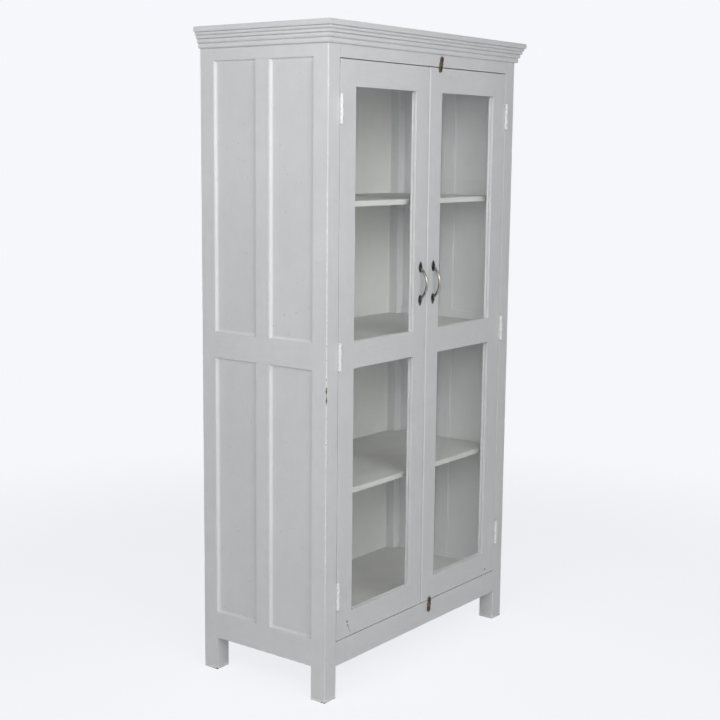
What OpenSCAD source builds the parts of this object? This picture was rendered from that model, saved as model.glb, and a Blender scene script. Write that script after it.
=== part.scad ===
// Tall painted display cabinet: four posts that run down as feet, framed and
// panelled sides, a stepped crown, three shelves and two inset glazed doors on
// butt hinges, held shut by two turn buttons.
// X runs to the right, Y to the back, Z up. The origin is on the floor, in the
// middle of the footprint, and left and right are as seen from the front.

/* [Case] */
// Width over the posts
body_w = 920; // [700:1:1200]
// Depth over the posts
body_d = 450; // [330:1:600]
// Height from the floor to the top
total_h = 1830; // [1500:1:2300]
// Side of each square post
post = 49; // [35:0.5:70]
// Thickness of the side and front rails
frame_t = 22; // [18:0.5:30]
// Height of the front bottom rail above the floor
front_foot_h = 93; // [60:1:150]
// Height of the side bottom rails above the floor
side_foot_h = 97; // [60:1:150]
// Height of the front bottom rail
front_bottom_rail_h = 70; // [45:1:100]
// Height of the front top rail that shows under the crown
front_top_show = 35; // [20:1:80]

/* [Sides] */
// Height of the side top rail that shows under the crown
side_top_show = 34; // [20:1:80]
// Lower edge of the side middle rail above the floor
side_mid_z = 922; // [600:1:1200]
// Height of the side middle rail
side_mid_rail_h = 73; // [45:1:100]
// Height of the side bottom rail
side_bottom_rail_h = 78; // [45:1:110]
// Width of the upright between two side panels
muntin_w = 48; // [30:1:80]
// Thickness of the side panels
panel_t = 6; // [4:0.5:10]
// Depth of the panels below the outside of their frame
panel_recess = 9; // [4:0.5:12]

/* [Top and back] */
// Thickness of the top board
top_t = 18; // [12:0.5:25]
// Overhang of the crown at its top
crown_out = 26; // [20:0.5:45]
// Thickness of the back panel
back_t = 6; // [4:0.5:12]
// Depth of the back panel below the back of the posts
back_inset = 13; // [8:0.5:20]
// Height of the two back rails
back_rail_h = 72; // [45:1:110]

/* [Shelves] */
// Thickness of the shelves and the bottom board
shelf_t = 15; // [12:0.5:22]
// Clear gap between the doors and the front edges of the shelves
shelf_setback = 20; // [10:1:60]
// Top of the upper shelf above the floor
upper_shelf_z = 1366; // [1200:1:1600]
// Top of the middle shelf above the floor
middle_shelf_z = 970; // [800:1:1150]
// Top of the lower shelf above the floor
lower_shelf_z = 570; // [350:1:750]
// Width of the cleats that carry the shelves
cleat_w = 18; // [12:1:25]
// Height of the cleats
cleat_h = 20; // [12:1:30]

/* [Doors] */
// Thickness of the doors
door_t = 20; // [16:0.5:25]
// Gap above and below the doors
door_gap = 2.5; // [1.5:0.1:4]
// Gap between a door and its post
hinge_gap = 2; // [1.5:0.1:3]
// Gap between the two doors
meet_gap = 3; // [2:0.1:5]
// Width of the hinge stiles
hinge_stile_w = 67; // [45:1:90]
// Width of the meeting stiles
meeting_stile_w = 62; // [45:1:90]
// Height of the door top rails
door_top_rail_h = 69; // [45:1:100]
// Lower edge of the door middle rails above the floor
door_mid_z = 918; // [600:1:1200]
// Height of the door middle rails
door_mid_rail_h = 73; // [45:1:100]
// Height of the door bottom rails
door_bottom_rail_h = 71; // [45:1:100]
// Chamfer on the meeting edges
meet_ease = 3; // [1:0.5:5]
// Thickness of the lip in front of the glass
lip_t = 7; // [5:0.5:10]
// Width of the rebate behind the lip
rebate_w = 8; // [6:0.5:12]
// Thickness of the glass
glass_t = 3; // [2:0.5:4]
// Gap between the glass and the rebate's sides
glass_clear = 1; // [0.5:0.1:2]
// Thickness of the stop strip behind the top rail and the top of the doors
door_stop_d = 13; // [8:1:18]
// Height of the stop strip below the top rail, and of its tongue above
door_stop_h = 20; // [12:1:30]
// Gap between the stop strip and the doors
stop_clear = 0.5; // [0.3:0.1:2]

/* [Hinges] */
// Height of each hinge
hinge_h = 75; // [50:1:100]
// Distance of the end hinges' centres from the door's ends
hinge_end = 128; // [80:1:250]
// Height of the middle hinges' centres above the floor
mid_hinge_z = 957; // [700:1:1200]
// Outside radius of the knuckles
knuckle_r = 5; // [4:0.1:6.5]
// Gap between the knuckles and the fronts of the doors and posts
knuckle_clear = 0.4; // [0.3:0.05:1]
// Radius of the hinge pins
pin_r = 2; // [1.5:0.1:3]
// Radial play of the door knuckles on the pin
pin_play = 0.05; // [0.02:0.01:0.1]
// Thickness of the hinge leaves
leaf_t = 1.8; // [1.2:0.1:2.5]
// Width of the hinge leaves on the wood
leaf_w = 16; // [10:0.5:18]
// Gap between the two leaves, and between neighbouring knuckles
leaf_gap = 0.3; // [0.2:0.05:0.6]
// Radius of the hinge screws
hinge_screw_r = 1.5; // [1:0.1:2.2]
// Length of the hinge screws
hinge_screw_l = 16; // [10:1:25]

/* [Handles] */
// Distance between the fixings of a handle
handle_pitch = 90; // [60:1:128]
// Distance of the handle's outside from the door
handle_proj = 28; // [20:1:45]
// Height of the handles' middles above the floor
handle_z = 1126; // [800:1:1400]
// Radius of the bow
bow_r = 4; // [2.5:0.1:6]
// Length of the spear-shaped foot beyond each fixing
spear_l = 18.5; // [8:0.5:30]
// Half width of the foot
spear_w = 9; // [5:0.5:15]
// Thickness of the foot
spear_t = 2.5; // [1.5:0.1:4]
// Radius of the handle screws
handle_screw_r = 1.75; // [1.2:0.05:2.5]

/* [Turn buttons] */
// Length of the turn buttons
button_l = 46; // [30:1:70]
// Width of the turn buttons
button_w = 13; // [8:0.5:20]
// Thickness of the turn buttons
button_t = 3.5; // [2:0.5:6]
// Radius of the boss around the pivot
boss_r = 7.6; // [5:0.1:12]
// Thickness of the boss
boss_t = 4.8; // [3:0.1:8]
// Gap behind, and in front of, a turn button
button_clear = 0.6; // [0.3:0.1:1.5]
// Radius of the pivot screws
pivot_r = 2.2; // [1.5:0.1:3]
// Radial play of a turn button on its screw
pivot_play = 0.06; // [0.02:0.01:0.1]
// Pivot of the top button to the right of the middle
top_button_x = 52; // [20:1:90]
// Pivot of the top button above the lower edge of the top rail
top_button_up = 7; // [5:1:25]
// Lean of the top button to the right
top_button_lean = 13; // [-30:1:30]
// Pivot of the bottom button to the right of the middle
bottom_button_x = 40; // [20:1:90]
// Pivot of the bottom button below the upper edge of the bottom rail
bottom_button_down = 12; // [5:1:25]
// Lean of the bottom button to the right
bottom_button_lean = 6; // [-30:1:30]

/* [Hidden] */
// Crown steps from the bottom up: height of each, and how far it stands out
crown_steps = [
    [12.5, 8],
    [12.5, 12.5],
    [8.5, 17],
    [9, 21],
    [14.5, crown_out],
];
crown_h = heights(crown_steps, len(crown_steps));

front_y = (max(handle_proj, crown_out) - body_d) / 2;
back_y = front_y + body_d;
out_x = body_w / 2;
in_x = out_x - post;
rail_x = out_x - frame_t;
side_y0 = front_y + post;
side_y1 = back_y - post;
mid_y = (front_y + back_y) / 2;
case_top = total_h - top_t;
crown_z = total_h - crown_h;

front_rail_top = front_foot_h + front_bottom_rail_h;
front_head_z = crown_z - front_top_show;
side_sill_z = side_foot_h + side_bottom_rail_h;
side_head_z = crown_z - side_top_show;
panel_x = out_x - panel_recess;
back_face = back_y - back_inset - back_t;

door_x0 = in_x - hinge_gap;
door_x1 = meet_gap / 2;
door_z0 = front_rail_top + door_gap;
door_z1 = front_head_z - door_gap;
door_back = front_y + door_t;
glass_x0 = door_x0 - hinge_stile_w;
glass_x1 = door_x1 + meeting_stile_w;
glass_zs = [
    [door_z0 + door_bottom_rail_h, door_mid_z],
    [door_mid_z + door_mid_rail_h, door_z1 - door_top_rail_h],
];

hinge_x = in_x - hinge_gap / 2;
hinge_proud = knuckle_r + knuckle_clear;
hinge_y = front_y - hinge_proud;
hinge_zs = [
    door_z0 + hinge_end - hinge_h / 2,
    mid_hinge_z - hinge_h / 2,
    door_z1 - hinge_end - hinge_h / 2,
];
knuckle_l = hinge_h / 5;
case_knuckles = [0, 2, 4];
door_knuckles = [1, 3];
// Hinge screws: distance behind the doors' front, then height in the leaf
hinge_screws = [
    [5.5, hinge_h * 0.16],
    [leaf_w - 5.5, hinge_h * 0.5],
    [5.5, hinge_h * 0.84],
];
screw_head_h = hinge_screw_r;

handle_x = (door_x1 + glass_x1) / 2;
bow_rise = handle_proj - bow_r;
bow_R = (pow(handle_pitch / 2, 2) + pow(bow_rise, 2)) / (2 * bow_rise);

shelf_y0 = door_back + shelf_setback;
shelf_tops = [upper_shelf_z, middle_shelf_z, lower_shelf_z, front_rail_top];
top_button_z = front_head_z + top_button_up;
bottom_button_z = front_rail_top - bottom_button_down;

paint = [0.79, 0.79, 0.8];
paint_shade = [0.7, 0.7, 0.71];
pewter = [0.36, 0.35, 0.33];
old_brass = [0.3, 0.22, 0.13];
steel = [0.6, 0.6, 0.6];
clear = [0.8, 0.88, 0.9, 0.3];
$fn = 64;

// Sum of the heights of the first n crown steps
function heights(steps, n) = n == 0 ? 0 : steps[n - 1][0] + heights(steps, n - 1);

// A block between two corners
module block(x0, x1, y0, y1, z0, z1) {
    translate([x0, y0, z0]) cube([x1 - x0, y1 - y0, z1 - z0]);
}

// What is drawn on the right, put on the left
module to_left() {
    mirror([1, 0, 0]) children();
}

// Part of a ball: a round head of radius r and height h, standing on z = 0
module dome(r, h) {
    ball_r = (r * r + h * h) / (2 * h);
    intersection() {
        translate([0, 0, h - ball_r]) sphere(r = ball_r);
        cylinder(h = h + 1, r = r);
    }
}

// Case

// The room that the four posts take between two heights
module all_posts(z0, z1) {
    for (x = [-out_x, in_x], y = [front_y, side_y1])
        block(x, x + post, y, y + post, z0, z1);
}

module post_body(y) {
    block(in_x, out_x, y, y + post, 0, case_top);
}

// A front post on the right, cut for its hinge leaves and screws
module front_post() {
    color(paint) difference() {
        post_body(front_y);
        for (z = hinge_zs) {
            block(in_x - 1, case_leaf_x(), front_y - 1, front_y + leaf_w, z, z + hinge_h);
            case_screws(z);
        }
    }
}

module back_post() {
    color(paint) post_body(side_y1);
}

module front_rail(z0, z1) {
    block(-in_x, in_x, front_y, front_y + frame_t, z0, z1);
}

module front_top_rail() {
    color(paint) difference() {
        front_rail(front_head_z, case_top);
        translate([top_button_x, front_y, top_button_z]) pivot_shank();
    }
}

module front_bottom_rail() {
    color(paint) difference() {
        front_rail(front_foot_h, front_rail_top);
        translate([bottom_button_x, front_y, bottom_button_z]) pivot_shank();
    }
}

// Sides, drawn on the right

module side_rail(z0, z1) {
    color(paint) block(rail_x, out_x, side_y0, side_y1, z0, z1);
}

module side_top_rail() {
    side_rail(side_head_z, case_top);
}

module side_mid_rail() {
    side_rail(side_mid_z, side_mid_z + side_mid_rail_h);
}

module side_bottom_rail() {
    side_rail(side_foot_h, side_sill_z);
}

// The two heights between the side rails: [from, to] of each
side_bays = [
    [side_sill_z, side_mid_z],
    [side_mid_z + side_mid_rail_h, side_head_z],
];

module side_muntins() {
    color(paint) for (bay = side_bays)
        block(rail_x, out_x, mid_y - muntin_w / 2, mid_y + muntin_w / 2, bay[0], bay[1]);
}

module side_panels() {
    color(paint_shade) for (bay = side_bays) {
        block(panel_x - panel_t, panel_x, side_y0, mid_y - muntin_w / 2, bay[0], bay[1]);
        block(panel_x - panel_t, panel_x, mid_y + muntin_w / 2, side_y1, bay[0], bay[1]);
    }
}

// Back and top

module back_panel() {
    color(paint_shade) block(-in_x, in_x, back_face, back_face + back_t, side_foot_h, case_top);
}

module back_rail(z0) {
    color(paint) block(-in_x, in_x, back_y - back_inset, back_y, z0, z0 + back_rail_h);
}

module back_top_rail() {
    back_rail(case_top - back_rail_h);
}

module back_bottom_rail() {
    back_rail(side_foot_h);
}

module top_board() {
    color(paint) block(-out_x, out_x, front_y, back_y, case_top, total_h);
}

// The crown's section: x outwards, y up, each step with a rounded nose
module crown_section() {
    for (i = [0 : len(crown_steps) - 1]) {
        h = crown_steps[i][0];
        nose = crown_steps[i][1] - h / 2;
        translate([0, heights(crown_steps, i)]) {
            square([nose, h]);
            intersection() {
                translate([nose, h / 2]) circle(r = h / 2);
                square([crown_out, h]);
            }
        }
    }
}

// A run of the crown along Z, as long as l
module crown_run(l) {
    linear_extrude(l) crown_section();
}

module crown_front() {
    l = body_w + 2 * crown_out;
    color(paint) intersection() {
        translate([-l / 2, front_y, crown_z]) rotate([90, 0, 90]) mirror([1, 0, 0]) crown_run(l);
        linear_extrude(total_h + 1) polygon([
            [-out_x, front_y],
            [out_x, front_y],
            [out_x + crown_out, front_y - crown_out],
            [-out_x - crown_out, front_y - crown_out],
        ]);
    }
}

// The crown's run on the right side, mitred at the front and cut square at the back
module crown_side() {
    l = body_d + crown_out;
    color(paint) intersection() {
        translate([out_x, back_y, crown_z]) rotate([90, 0, 0]) crown_run(l);
        linear_extrude(total_h + 1) polygon([
            [out_x, front_y],
            [out_x + crown_out, front_y - crown_out],
            [out_x + crown_out, back_y],
            [out_x, back_y],
        ]);
    }
}

// Shelves

module board(top, y0) {
    color(paint) difference() {
        block(-rail_x, rail_x, y0, back_face, top - shelf_t, top);
        all_posts(top - shelf_t - 1, top + 1);
    }
}

module bottom_board() {
    board(front_rail_top, front_y + frame_t);
}

module upper_shelf() {
    board(upper_shelf_z, shelf_y0);
}

module middle_shelf() {
    board(middle_shelf_z, shelf_y0);
}

module lower_shelf() {
    board(lower_shelf_z, shelf_y0);
}

// A cleat under each board, along the right side
module shelf_cleats() {
    color(paint) for (top = shelf_tops)
        block(rail_x - cleat_w, rail_x, side_y0, side_y1, top - shelf_t - cleat_h, top - shelf_t);
}

// A strip that the doors shut against, with a tongue up behind the top rail
module door_stop() {
    y0 = door_back + stop_clear;
    y1 = max(y0, front_y + frame_t) + door_stop_d;
    color(paint) {
        block(-in_x, in_x, y0, y1, front_head_z - door_stop_h, front_head_z);
        block(-in_x, in_x, front_y + frame_t, y1, front_head_z - 1, front_head_z + door_stop_h);
    }
}

// Hinges, drawn on the right: the case's leaf is on the post, further from the middle

// The back of the case leaf, and the back of the door leaf
function case_leaf_x() = hinge_x + leaf_gap / 2 + leaf_t;
function door_leaf_x() = hinge_x - leaf_gap / 2 - leaf_t;

module at_knuckles(which) {
    for (k = which) translate([0, 0, k * knuckle_l]) children();
}

// A leaf on the +X side of the pin, which is on the Z axis, with its own
// knuckles shortened by trim at each end and room for the other leaf's
module leaf(own, other, trim, bore_r) {
    difference() {
        union() {
            difference() {
                block(leaf_gap / 2, leaf_gap / 2 + leaf_t, 0, hinge_proud + leaf_w, 0, hinge_h);
                at_knuckles(other) translate([0, 0, -trim_room(trim)])
                    cylinder(h = knuckle_l + 2 * trim_room(trim), r = knuckle_r + leaf_gap);
            }
            at_knuckles(own) translate([0, 0, trim]) cylinder(h = knuckle_l - 2 * trim, r = knuckle_r);
        }
        translate([0, 0, -1]) cylinder(h = hinge_h + 2, r = bore_r);
        for (s = hinge_screws) translate([leaf_gap / 2, hinge_proud + s[0], s[1]]) hinge_screw();
    }
}

// Knuckles that aren't trimmed need no extra room beside them
function trim_room(trim) = trim > 0 ? leaf_gap : 0;

// A countersunk screw, its head flush with x = 0 and its point towards +X
module hinge_screw() {
    rotate([0, 90, 0]) {
        cylinder(h = screw_head_h, r1 = 2 * hinge_screw_r, r2 = hinge_screw_r);
        cylinder(h = hinge_screw_l, r = hinge_screw_r);
    }
}

module at_hinge(z) {
    translate([hinge_x, hinge_y, z]) children();
}

module leaf_screws() {
    for (s = hinge_screws) translate([leaf_gap / 2, hinge_proud + s[0], s[1]]) hinge_screw();
}

module case_screws(z) {
    at_hinge(z) leaf_screws();
}

module door_screws(z) {
    at_hinge(z) mirror([1, 0, 0]) leaf_screws();
}

module case_leaves() {
    for (z = hinge_zs) at_hinge(z) leaf(case_knuckles, door_knuckles, 0, pin_r);
}

module hinge_case_leaves() {
    color(paint) {
        case_leaves();
        to_left() case_leaves();
    }
}

module door_leaves() {
    color(paint) for (z = hinge_zs)
        at_hinge(z) mirror([1, 0, 0]) leaf(door_knuckles, case_knuckles, leaf_gap, pin_r + pin_play);
}

// A pin with a domed head at each end
module hinge_pin() {
    cylinder(h = hinge_h, r = pin_r);
    translate([0, 0, hinge_h]) dome(knuckle_r * 0.8, 2);
    mirror([0, 0, 1]) dome(knuckle_r * 0.8, 2);
}

module side_pins() {
    for (z = hinge_zs) at_hinge(z) hinge_pin();
}

module hinge_pins() {
    color(steel) {
        side_pins();
        to_left() side_pins();
    }
}

module hinge_case_screws() {
    color(steel) for (z = hinge_zs) {
        case_screws(z);
        to_left() case_screws(z);
    }
}

module hinge_door_screws() {
    color(steel) for (z = hinge_zs) door_screws(z);
}

// Doors, drawn on the right

// The rebates for the two panes, open to the back
module glass_rebates() {
    for (bay = glass_zs)
        block(glass_x1 - rebate_w, glass_x0 + rebate_w, front_y + lip_t, door_back + 1,
            bay[0] - rebate_w, bay[1] + rebate_w);
}

module hinge_stile() {
    color(paint) difference() {
        block(glass_x0, door_x0, front_y, door_back, door_z0, door_z1);
        glass_rebates();
        for (z = hinge_zs) {
            block(door_leaf_x(), door_x0 + 1, front_y - 1, front_y + leaf_w, z, z + hinge_h);
            door_screws(z);
        }
    }
}

module meeting_stile() {
    color(paint) difference() {
        translate([0, 0, door_z0]) linear_extrude(door_z1 - door_z0) polygon([
            [door_x1 + meet_ease, front_y],
            [glass_x1, front_y],
            [glass_x1, door_back],
            [door_x1, door_back],
            [door_x1, front_y + meet_ease],
        ]);
        glass_rebates();
        handle_screw_shanks();
    }
}

module door_rail(z0, z1) {
    color(paint) difference() {
        block(glass_x1, glass_x0, front_y, door_back, z0, z1);
        glass_rebates();
    }
}

module door_top_rail() {
    door_rail(door_z1 - door_top_rail_h, door_z1);
}

module door_mid_rail() {
    door_rail(door_mid_z, door_mid_z + door_mid_rail_h);
}

module door_bottom_rail() {
    door_rail(door_z0, door_z0 + door_bottom_rail_h);
}

module pane(bay) {
    m = rebate_w - glass_clear;
    color(clear) block(glass_x1 - m, glass_x0 + m, front_y + lip_t, front_y + lip_t + glass_t,
        bay[0] - m, bay[1] + m);
}

// A frame of strips behind each pane, level with the lip and the door's back
module glazing_beads() {
    y0 = front_y + lip_t + glass_t;
    color(paint) for (bay = glass_zs) difference() {
        block(glass_x1 - rebate_w, glass_x0 + rebate_w, y0, door_back, bay[0] - rebate_w, bay[1] + rebate_w);
        block(glass_x1, glass_x0, y0 - 1, door_back + 1, bay[0], bay[1]);
    }
}

// Handles, drawn on the right

module at_handle() {
    translate([handle_x, front_y, handle_z]) children();
}

// Right half of the upper foot's outline, from its tip: a spear that points up
spear = [
    [0, spear_l],
    [spear_w * 0.22, spear_l * 0.82],
    [spear_w * 0.5, spear_l * 0.62],
    [spear_w * 0.86, spear_l * 0.4],
    [spear_w, spear_l * 0.14],
    [spear_w * 0.92, -spear_l * 0.1],
    [spear_w * 0.66, -spear_l * 0.32],
    [spear_w * 0.5, -spear_l * 0.44],
    [spear_w * 0.52, -spear_l * 0.6],
    [spear_w * 0.3, -spear_l * 0.68],
];

module spear_foot() {
    rotate([90, 0, 0]) linear_extrude(spear_t)
        polygon(concat(spear, [for (i = [len(spear) - 1 : -1 : 1]) [-spear[i][0], spear[i][1]]]));
}

// Ring whose part in front of the door is the bow
module bow() {
    intersection() {
        translate([0, bow_R - bow_rise, 0]) rotate([0, 90, 0])
            rotate_extrude() translate([bow_R, 0]) circle(r = bow_r);
        block(-bow_r - 1, bow_r + 1, -handle_proj - 1, 0, -handle_pitch, handle_pitch);
    }
}

module handle() {
    color(pewter) difference() {
        at_handle() {
            bow();
            translate([0, 0, handle_pitch / 2]) spear_foot();
            mirror([0, 0, 1]) translate([0, 0, handle_pitch / 2]) spear_foot();
        }
        handle_screw_shanks();
    }
}

// The handle screws' shanks, from inside the door to just short of the feet's fronts
module handle_screw_shanks() {
    at_handle() for (z = [-handle_pitch / 2, handle_pitch / 2])
        translate([0, door_t, z]) rotate([90, 0, 0]) cylinder(h = door_t + spear_t - 0.5, r = handle_screw_r);
}

module handle_screws() {
    color(steel) {
        handle_screw_shanks();
        at_handle() for (z = [-handle_pitch / 2, handle_pitch / 2])
            translate([0, door_t, z]) rotate([-90, 0, 0]) dome(handle_screw_r * 2.3, 2.4);
    }
}

// Turn buttons

// A pivot screw's shank behind y = 0, into the rail
module pivot_shank() {
    rotate([-90, 0, 0]) cylinder(h = frame_t - 5, r = pivot_r);
}

// A pivot screw: its shank, its neck through the button, and its round head
module pivot_screw() {
    neck = boss_t + 2 * button_clear;
    pivot_shank();
    rotate([90, 0, 0]) {
        cylinder(h = neck, r = pivot_r);
        translate([0, 0, neck]) dome(pivot_r * 1.9, 2.4);
    }
}

module turn_button_screws() {
    color(old_brass) {
        translate([top_button_x, front_y, top_button_z]) pivot_screw();
        translate([bottom_button_x, front_y, bottom_button_z]) pivot_screw();
    }
}

// A bar with round ends and a boss around its bore, clear of the rail behind it
module turn_button(lean) {
    half = (button_l - button_w) / 2;
    color(old_brass) rotate([0, lean, 0]) rotate([90, 0, 0]) translate([0, 0, button_clear]) difference() {
        union() {
            linear_extrude(button_t) {
                translate([-button_w / 2, -half]) square([button_w, 2 * half]);
                for (z = [-half, half]) translate([0, z]) circle(r = button_w / 2);
            }
            cylinder(h = boss_t, r = boss_r);
        }
        translate([0, 0, -1]) cylinder(h = boss_t + 2, r = pivot_r + pivot_play);
    }
}

module top_turn_button() {
    translate([top_button_x, front_y, top_button_z]) turn_button(top_button_lean);
}

module bottom_turn_button() {
    translate([bottom_button_x, front_y, bottom_button_z]) turn_button(bottom_button_lean);
}

to_left() front_post();  // post_front_left
front_post();  // post_front_right
to_left() back_post();  // post_back_left
back_post();  // post_back_right
front_top_rail();
front_bottom_rail();
to_left() side_top_rail();  // left_side_top_rail
to_left() side_mid_rail();  // left_side_mid_rail
to_left() side_bottom_rail();  // left_side_bottom_rail
to_left() side_muntins();  // left_side_muntins
to_left() side_panels();  // left_side_panels
side_top_rail();  // right_side_top_rail
side_mid_rail();  // right_side_mid_rail
side_bottom_rail();  // right_side_bottom_rail
side_muntins();  // right_side_muntins
side_panels();  // right_side_panels
back_panel();
back_top_rail();
back_bottom_rail();
top_board();
crown_front();
to_left() crown_side();  // crown_left
crown_side();  // crown_right
bottom_board();
upper_shelf();
middle_shelf();
lower_shelf();
to_left() shelf_cleats();  // shelf_cleats_left
shelf_cleats();  // shelf_cleats_right
door_stop();
hinge_case_leaves();
hinge_pins();
hinge_case_screws();
turn_button_screws();
to_left() hinge_stile();  // left_hinge_stile
to_left() meeting_stile();  // left_meeting_stile
to_left() door_top_rail();  // left_door_top_rail
to_left() door_mid_rail();  // left_door_mid_rail
to_left() door_bottom_rail();  // left_door_bottom_rail
to_left() pane(glass_zs[1]);  // left_upper_glass
to_left() pane(glass_zs[0]);  // left_lower_glass
to_left() glazing_beads();  // left_glazing_beads
to_left() door_leaves();  // left_hinge_leaves
to_left() hinge_door_screws();  // left_hinge_screws
to_left() handle();  // left_handle
to_left() handle_screws();  // left_handle_screws
hinge_stile();  // right_hinge_stile
meeting_stile();  // right_meeting_stile
door_top_rail();  // right_door_top_rail
door_mid_rail();  // right_door_mid_rail
door_bottom_rail();  // right_door_bottom_rail
pane(glass_zs[1]);  // right_upper_glass
pane(glass_zs[0]);  // right_lower_glass
glazing_beads();  // right_glazing_beads
door_leaves();  // right_hinge_leaves
hinge_door_screws();  // right_hinge_screws
handle();  // right_handle
handle_screws();  // right_handle_screws
top_turn_button();
bottom_turn_button();
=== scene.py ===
import math

import bpy
import numpy as np
from mathutils import Matrix, Vector


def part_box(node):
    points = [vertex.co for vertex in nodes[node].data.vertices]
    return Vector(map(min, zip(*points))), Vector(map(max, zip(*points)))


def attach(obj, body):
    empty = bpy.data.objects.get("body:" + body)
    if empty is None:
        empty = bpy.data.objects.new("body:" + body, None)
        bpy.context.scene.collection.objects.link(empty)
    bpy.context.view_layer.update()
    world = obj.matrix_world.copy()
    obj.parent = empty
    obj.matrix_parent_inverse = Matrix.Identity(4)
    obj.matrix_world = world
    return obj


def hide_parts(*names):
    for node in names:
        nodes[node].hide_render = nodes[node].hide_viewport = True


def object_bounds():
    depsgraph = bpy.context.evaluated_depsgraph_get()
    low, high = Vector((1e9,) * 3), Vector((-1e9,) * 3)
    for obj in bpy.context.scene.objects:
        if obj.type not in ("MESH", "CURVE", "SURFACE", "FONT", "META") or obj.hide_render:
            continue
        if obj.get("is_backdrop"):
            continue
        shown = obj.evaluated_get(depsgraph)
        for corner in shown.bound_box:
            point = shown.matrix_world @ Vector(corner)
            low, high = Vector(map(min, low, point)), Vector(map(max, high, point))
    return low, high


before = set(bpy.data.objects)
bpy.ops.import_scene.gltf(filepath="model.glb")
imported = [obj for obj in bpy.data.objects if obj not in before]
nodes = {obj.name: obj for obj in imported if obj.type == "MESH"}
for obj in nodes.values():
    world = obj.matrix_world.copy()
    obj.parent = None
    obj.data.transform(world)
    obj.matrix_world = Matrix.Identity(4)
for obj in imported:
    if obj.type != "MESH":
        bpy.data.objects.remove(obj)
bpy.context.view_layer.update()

MM = 0.001
ACROSS, DEEP, UP = 0, 1, 2  # the x, y and z axes as a joiner names them
ARC = 5  # points round one eased edge
STATION = 0.012  # pitch of the stations along a board
SHOULDER = 0.005  # how far rubbing reaches from an edge onto the face beside it
MERGE = 1e-6  # points closer than this become one
TINY = 1e-12
FOOT_RUB = 0.007  # how far up a foot its rubbing reaches
SLOW_PITCH, QUICK_PITCH = 0.07, 0.013  # pitches of a worn edge's slow waves and of its knocks
SLOW_WAVE, KNOCK = 0.4, 0.9  # how much of a radius the waves and the knocks change
KNOCK_FROM = 0.45  # how high a quick wave rises before it is a knock
SHARP_BEND = math.radians(35)
UNWORN = (0, 0, 0, 0)


# Outlines and skins


def waver(along, seed, pitch):
    """An uneven line between -1 and 1: random heights a pitch apart, joined by half cosine waves."""
    rng = np.random.default_rng(seed)
    heights = rng.uniform(-1, 1, int(np.ptp(along) / pitch) + 3)
    at = (along - along.min()) / pitch
    step = at.astype(int)
    share = (1 - np.cos(np.pi * (at - step))) / 2
    return heights[step] * (1 - share) + heights[step + 1] * share


def edge_waves(along, slow_seed, quick_seed):
    """A worn edge's slow waves, and its knocks: twice what a quick wave has over KNOCK_FROM."""
    quick = waver(along, quick_seed, QUICK_PITCH)
    return waver(along, slow_seed, SLOW_PITCH), np.clip(quick - KNOCK_FROM, 0, 1) * 2


def eased_outline(corners, sides, radii, inset, shoulder):
    """The outline of a board at every station along it.

    corners are (stations, corners, 2), anticlockwise, and sides the outward direction of the
    side that leaves each corner. A corner is a round of its radius: its centre lies in from the
    corner along the sum of the two directions, over one plus their cosine, and its points are
    the centre plus the radius times the direction turned evenly from one side's to the other's.
    A side carries two more points, a shoulder in from its rounds. Then every point moves in by
    inset against its own direction.
    """
    before = np.roll(sides, 1, axis=0)
    running = np.stack([-sides[:, 1], sides[:, 0]], axis=1)
    cosine = np.clip((before * sides).sum(axis=1), -1, 1)
    opening = np.arccos(cosine)[:, None]
    share = np.linspace(0, 1, ARC)[None]
    sine = np.where(opening > 1e-6, np.sin(opening), 1)
    first = np.where(opening > 1e-6, np.sin((1 - share) * opening) / sine, 1 - share)
    second = np.where(opening > 1e-6, np.sin(share * opening) / sine, share)
    fan = first[..., None] * before[:, None] + second[..., None] * sides[:, None]
    centres = corners - radii[..., None] * (before + sides) / (1 + cosine)[:, None]
    rounds = centres[:, :, None] + radii[..., None, None] * fan[None]

    setback = radii * np.tan(opening[:, 0] / 2)
    following = np.roll(corners, -1, axis=1)
    length = ((following - corners) * running).sum(axis=2)
    room = length - setback - np.roll(setback, -1, axis=1)
    step = np.clip(0.4 * room, 0, shoulder)
    start = corners + running * (setback + step)[..., None]
    stop = following - running * (np.roll(setback, -1, axis=1) + step)[..., None]

    stations, count = corners.shape[:2]
    points = np.concatenate([rounds, start[:, :, None], stop[:, :, None]], axis=2)
    ways = np.concatenate([fan, sides[:, None], sides[:, None]], axis=1)
    ways = np.broadcast_to(ways[None], points.shape)
    points = points - inset[:, None, None, None] * ways
    shape = (stations, count * (ARC + 2), 2)
    return points.reshape(shape), ways.reshape(shape)


def rubbing(wear, chips):
    """How rubbed each point of an eased outline is.

    Full in the middle of a round, less at its ends, none on the sides. chips, one row per
    station, adds to it where the edge is knocked.
    """
    over_round = np.array([0.5, 0.85, 1, 0.85, 0.5, 0, 0])
    return (wear * (0.75 + 0.5 * chips))[..., None] * over_round


def placed(outline, ways, along, turned, axis):
    """Outline points and directions in space.

    The outline's two axes are the next two after the board's own, and turned is how far each
    row's directions lean towards the board's end: a direction's own part shrinks to the root
    of one less the square of that.
    """
    points = np.empty((*outline.shape[:2], 3))
    normals = np.empty_like(points)
    lean = np.sqrt(1 - turned**2)[:, None]
    for i, source in enumerate((axis + 1, axis + 2)):
        points[..., source % 3] = outline[..., i]
        normals[..., source % 3] = ways[..., i] * lean
    points[..., axis] = along[:, None]
    normals[..., axis] = turned[:, None]
    return points, normals


SQUARE = np.array([[0, -1], [1, 0], [0, 1], [-1, 0]], float)  # the ways a rectangle's sides face
DIAGONALS = np.array([[-1, -1], [1, -1], [1, 1], [-1, 1]])


def rectangle(u0, v0, u1, v1):
    """The four corners of a rectangle, anticlockwise."""
    return np.array([[u0, v0], [u1, v0], [u1, v1], [u0, v1]])


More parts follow.
